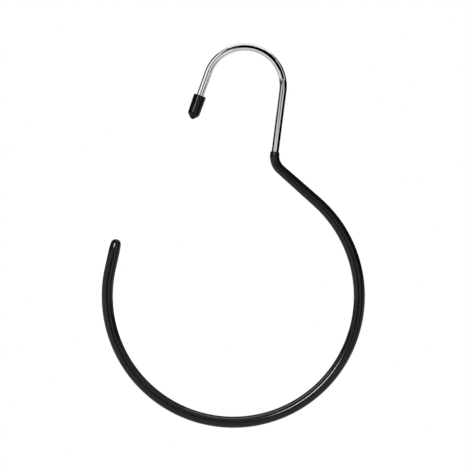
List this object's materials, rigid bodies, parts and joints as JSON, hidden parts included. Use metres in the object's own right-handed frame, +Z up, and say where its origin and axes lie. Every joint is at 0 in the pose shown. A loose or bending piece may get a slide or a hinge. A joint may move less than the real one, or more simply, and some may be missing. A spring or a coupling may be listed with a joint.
{
  "type": "scarf hanger",
  "caption": "Open-ring scarf hanger bent from a single chromed wire, with a rod hook, a soft black grip sleeve round the ring and a black push-on cap on the hook's end.",
  "frame": {"origin": "inside crest of the hook, where the hanger rests on a rod", "axes": "+Z up with the hook on top, +X from the hook's capped end towards the shank, +Y along the rod, square to the hanger's plane"},
  "size_m": [0.1608, 0.0076, 0.2349],
  "materials": {
    "chromed_wire": "bright chrome plate on drawn steel wire",
    "sleeve_vinyl": "satin black soft vinyl with a fine grain",
    "cap_vinyl": "smooth black moulded vinyl"
  },
  "bodies": {
    "root": {"hanger_wire": "chromed_wire", "ring_sleeve": "sleeve_vinyl", "hook_cap": "cap_vinyl"}
  },
  "joints": []
}
